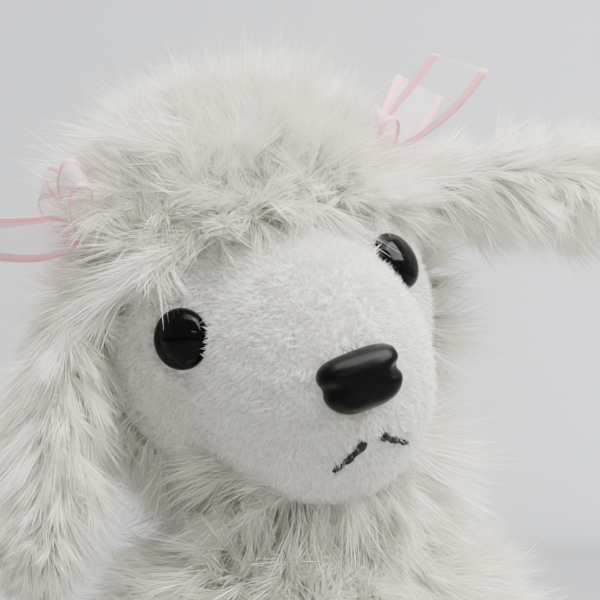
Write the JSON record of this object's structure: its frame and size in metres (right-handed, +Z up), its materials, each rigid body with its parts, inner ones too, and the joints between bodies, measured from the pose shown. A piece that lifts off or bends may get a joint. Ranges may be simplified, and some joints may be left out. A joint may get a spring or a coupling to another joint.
{
  "type": "plush dog",
  "caption": "Sitting plush dog in white long-pile fabric with a short-pile face, plastic safety eyes and nose, soft turning head, floppy ears with sheer ribbon bows, swinging legs and tail.",
  "frame": {"origin": "centre of the flat seat that the toy sits on", "axes": "+Z up, the face looks along -Y, and the dog's own left is on +X"},
  "size_m": [0.1603, 0.1496, 0.2389],
  "materials": {
    "long_pile": "matte",
    "short_pile": "matte",
    "polyester_fill": "matte",
    "black_plastic": "gloss",
    "washer_plastic": "satin",
    "black_thread": "matte",
    "organza_ribbon": "satin"
  },
  "bodies": {
    "torso": {"body_front_panel": "long_pile", "body_back_panel": "long_pile", "body_stuffing": "polyester_fill"},
    "neck_core": {"neck_stuffing": "polyester_fill"},
    "neck_cover": {"neck_panel": "long_pile"},
    "head": {"face_panel": "short_pile", "topknot_cap": "long_pile", "head_stuffing": "polyester_fill", "nose": "black_plastic", "nose_washer": "washer_plastic", "right_eye": "black_plastic", "right_eye_washer": "washer_plastic", "mouth_stitch_right": "black_thread", "right_bow_ribbon": "organza_ribbon", "right_bow_knot": "organza_ribbon", "left_eye": "black_plastic", "left_eye_washer": "washer_plastic", "mouth_stitch_left": "black_thread", "left_bow_ribbon": "organza_ribbon", "left_bow_knot": "organza_ribbon"},
    "right_ear": {"right_ear_outer": "long_pile", "right_ear_inner": "long_pile"},
    "left_ear": {"left_ear_outer": "long_pile", "left_ear_inner": "long_pile"},
    "tail": {"tail_cover": "long_pile", "tail_stuffing": "polyester_fill"},
    "right_front_leg": {"right_front_leg_sleeve": "long_pile", "right_front_paw": "short_pile", "right_front_leg_stuffing": "polyester_fill"},
    "right_hind_leg": {"right_hind_leg_sleeve": "long_pile", "right_hind_paw": "short_pile", "right_hind_leg_stuffing": "polyester_fill"},
    "left_front_leg": {"left_front_leg_sleeve": "long_pile", "left_front_paw": "short_pile", "left_front_leg_stuffing": "polyester_fill"},
    "left_hind_leg": {"left_hind_leg_sleeve": "long_pile", "left_hind_paw": "short_pile", "left_hind_leg_stuffing": "polyester_fill"}
  },
  "joints": [
    {"name": "head_turn", "type": "hinge", "parent": "torso", "child": "neck_core", "pos_m": [0, -0.006, 0.146], "axis": [0, 0, 1], "range_deg": [-40, 40], "stiffness_Nm_per_rad": 0.3},
    {"name": "head_nod", "type": "hinge", "parent": "neck_core", "child": "neck_cover", "pos_m": [0, -0.006, 0.146], "axis": [1, 0, 0], "range_deg": [-20, 18], "stiffness_Nm_per_rad": 0.45},
    {"name": "head_tilt", "type": "hinge", "parent": "neck_cover", "child": "head", "pos_m": [0, -0.006, 0.146], "axis": [0, 1, 0], "range_deg": [-10, 38], "stiffness_Nm_per_rad": 0.45},
    {"name": "right_ear_lift", "type": "hinge", "parent": "head", "child": "right_ear", "pos_m": [-0.0558, -0.01, 0.18528], "axis": [0, 1, 0], "range_deg": [-4, 60], "stiffness_Nm_per_rad": 0.03},
    {"name": "left_ear_lift", "type": "hinge", "parent": "head", "child": "left_ear", "pos_m": [0.0175, -0.01, 0.21196], "axis": [0, -1, 0], "range_deg": [-54, 10], "stiffness_Nm_per_rad": 0.03},
    {"name": "right_front_leg_swing", "type": "hinge", "parent": "torso", "child": "right_front_leg", "pos_m": [-0.035, -0.042, 0.092], "axis": [-1, 0, 0], "range_deg": [-5, 70], "stiffness_Nm_per_rad": 0.06},
    {"name": "right_hind_leg_swing", "type": "hinge", "parent": "torso", "child": "right_hind_leg", "pos_m": [-0.054, -0.002, 0.0155], "axis": [-1, 0, 0], "range_deg": [-15, 35], "stiffness_Nm_per_rad": 0.08},
    {"name": "left_front_leg_swing", "type": "hinge", "parent": "torso", "child": "left_front_leg", "pos_m": [0.035, -0.042, 0.092], "axis": [-1, 0, 0], "range_deg": [-5, 70], "stiffness_Nm_per_rad": 0.06},
    {"name": "left_hind_leg_swing", "type": "hinge", "parent": "torso", "child": "left_hind_leg", "pos_m": [0.054, -0.002, 0.0155], "axis": [-1, 0, 0], "range_deg": [-15, 35], "stiffness_Nm_per_rad": 0.08},
    {"name": "tail_lift", "type": "hinge", "parent": "torso", "child": "tail", "pos_m": [0, 0.0444, 0.03], "axis": [1, 0, 0], "range_deg": [-40, 15], "stiffness_Nm_per_rad": 0.03}
  ]
}
